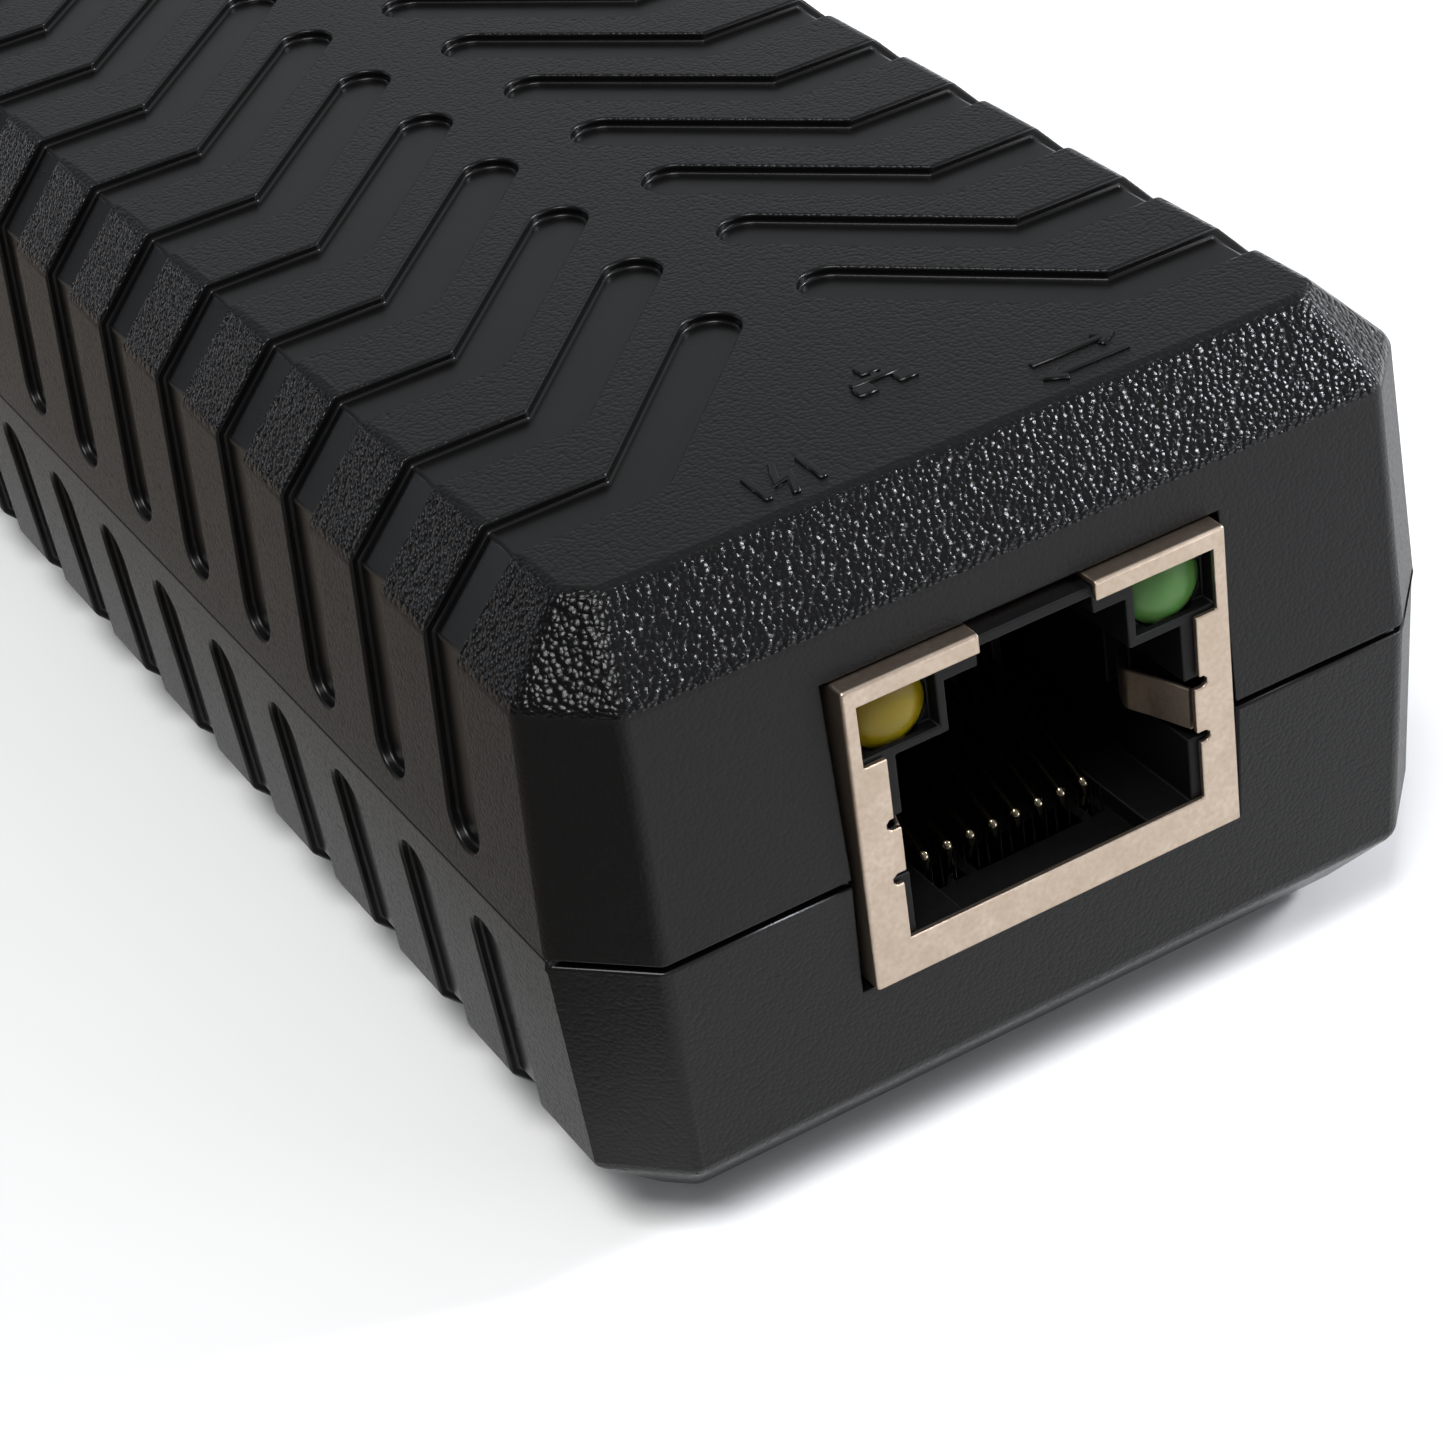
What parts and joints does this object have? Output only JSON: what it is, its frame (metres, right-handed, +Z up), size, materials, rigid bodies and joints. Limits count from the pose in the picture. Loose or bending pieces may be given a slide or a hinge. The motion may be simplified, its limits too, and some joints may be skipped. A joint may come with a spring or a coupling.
{
  "type": "power over ethernet injector",
  "caption": "Small two-shell box with a shielded modular socket and lamps at one end, and a data socket and power inlet at the other.",
  "frame": {"origin": "centre of the footprint on the surface the case stands on", "axes": "+X across the case, +Y along the case from the powered socket to the data socket and power inlet, +Z up"},
  "size_m": [0.0384, 0.1046, 0.0272],
  "materials": {
    "black_shell": "fine spark-eroded texture, black ABS",
    "zinc_steel": "zinc plated screw steel",
    "black_rubber": "matt rubber",
    "silver_label": "blank silver polyester film",
    "green_board": "glass epoxy with green solder mask",
    "nickel_sheet": "nickel plated brass sheet",
    "black_insulator": "satin glass filled polyamide",
    "gold_wire": "gold plated phosphor bronze",
    "yellow_lens": "tinted diffused epoxy",
    "green_lens": "tinted diffused epoxy",
    "tin_lead": "tinned copper",
    "black_epoxy": "moulded epoxy",
    "aluminium_can": "bare can",
    "dark_sleeve": "shrunk sleeve",
    "ferrite": "grey ferrite",
    "enamel_copper": "enamelled copper",
    "tan_ceramic": "ceramic",
    "white_ceramic": "ceramic"
  },
  "bodies": {
    "injector": {"top_shell": "black_shell", "bottom_shell": "black_shell", "case_screws": "zinc_steel", "rubber_feet": "black_rubber", "rating_label": "silver_label", "circuit_board": "green_board", "out_led_yellow": "yellow_lens", "out_led_green": "green_lens", "out_led_leads": "tin_lead", "dc_jack_body": "black_insulator", "dc_jack_pin": "tin_lead", "dc_jack_terminals": "tin_lead", "line_transformers": "black_epoxy", "line_transformer_leads": "tin_lead", "power_controller": "black_epoxy", "power_controller_leads": "tin_lead", "bulk_capacitors": "aluminium_can", "capacitor_sleeves": "dark_sleeve", "capacitor_leads": "tin_lead", "choke_core": "ferrite", "choke_windings": "enamel_copper", "chip_resistors": "black_epoxy", "ceramic_capacitors": "tan_ceramic", "surge_diode": "black_epoxy", "switch_transistor": "black_epoxy", "input_fuse": "white_ceramic", "out_jack_shield": "nickel_sheet", "out_jack_insulator": "black_insulator", "out_jack_contact_tails": "gold_wire", "in_jack_shield": "nickel_sheet", "in_jack_insulator": "black_insulator", "in_jack_contact_tails": "gold_wire"},
    "out_jack_contact_springs": {"out_jack_contact_springs": "gold_wire"},
    "out_jack_finger_left": {"out_jack_finger_left": "nickel_sheet"},
    "out_jack_finger_right": {"out_jack_finger_right": "nickel_sheet"},
    "in_jack_contact_springs": {"in_jack_contact_springs": "gold_wire"},
    "in_jack_finger_left": {"in_jack_finger_left": "nickel_sheet"},
    "in_jack_finger_right": {"in_jack_finger_right": "nickel_sheet"},
    "dc_jack_leaf": {"dc_jack_leaf": "tin_lead"}
  },
  "joints": [
    {"name": "out_jack_contacts_flex", "type": "hinge", "parent": "injector", "child": "out_jack_contact_springs", "pos_m": [0, -0.04865, 0.01025], "axis": [1, 0, 0], "range_deg": [-7, 0], "stiffness_Nm_per_rad": 0.05},
    {"name": "in_jack_contacts_flex", "type": "hinge", "parent": "injector", "child": "in_jack_contact_springs", "pos_m": [0.0066, 0.04865, 0.01025], "axis": [1, 0, 0], "range_deg": [0, 7], "stiffness_Nm_per_rad": 0.05},
    {"name": "out_jack_finger_right_flex", "type": "hinge", "parent": "injector", "child": "out_jack_finger_right", "pos_m": [0.00637, -0.05195, 0.01452], "axis": [0, 0, 1], "range_deg": [-13, 0], "stiffness_Nm_per_rad": 0.01},
    {"name": "out_jack_finger_left_flex", "type": "hinge", "parent": "injector", "child": "out_jack_finger_left", "pos_m": [-0.00637, -0.05195, 0.01452], "axis": [0, 0, 1], "range_deg": [0, 13], "stiffness_Nm_per_rad": 0.01},
    {"name": "in_jack_finger_right_flex", "type": "hinge", "parent": "injector", "child": "in_jack_finger_right", "pos_m": [0.00023, 0.05195, 0.01452], "axis": [0, 0, 1], "range_deg": [-13, 0], "stiffness_Nm_per_rad": 0.01},
    {"name": "in_jack_finger_left_flex", "type": "hinge", "parent": "injector", "child": "in_jack_finger_left", "pos_m": [0.01297, 0.05195, 0.01452], "axis": [0, 0, 1], "range_deg": [0, 13], "stiffness_Nm_per_rad": 0.01},
    {"name": "dc_jack_leaf_flex", "type": "hinge", "parent": "injector", "child": "dc_jack_leaf", "pos_m": [-0.0076, 0.0425, 0.0118], "axis": [1, 0, 0], "range_deg": [-8, 0], "stiffness_Nm_per_rad": 0.02}
  ]
}
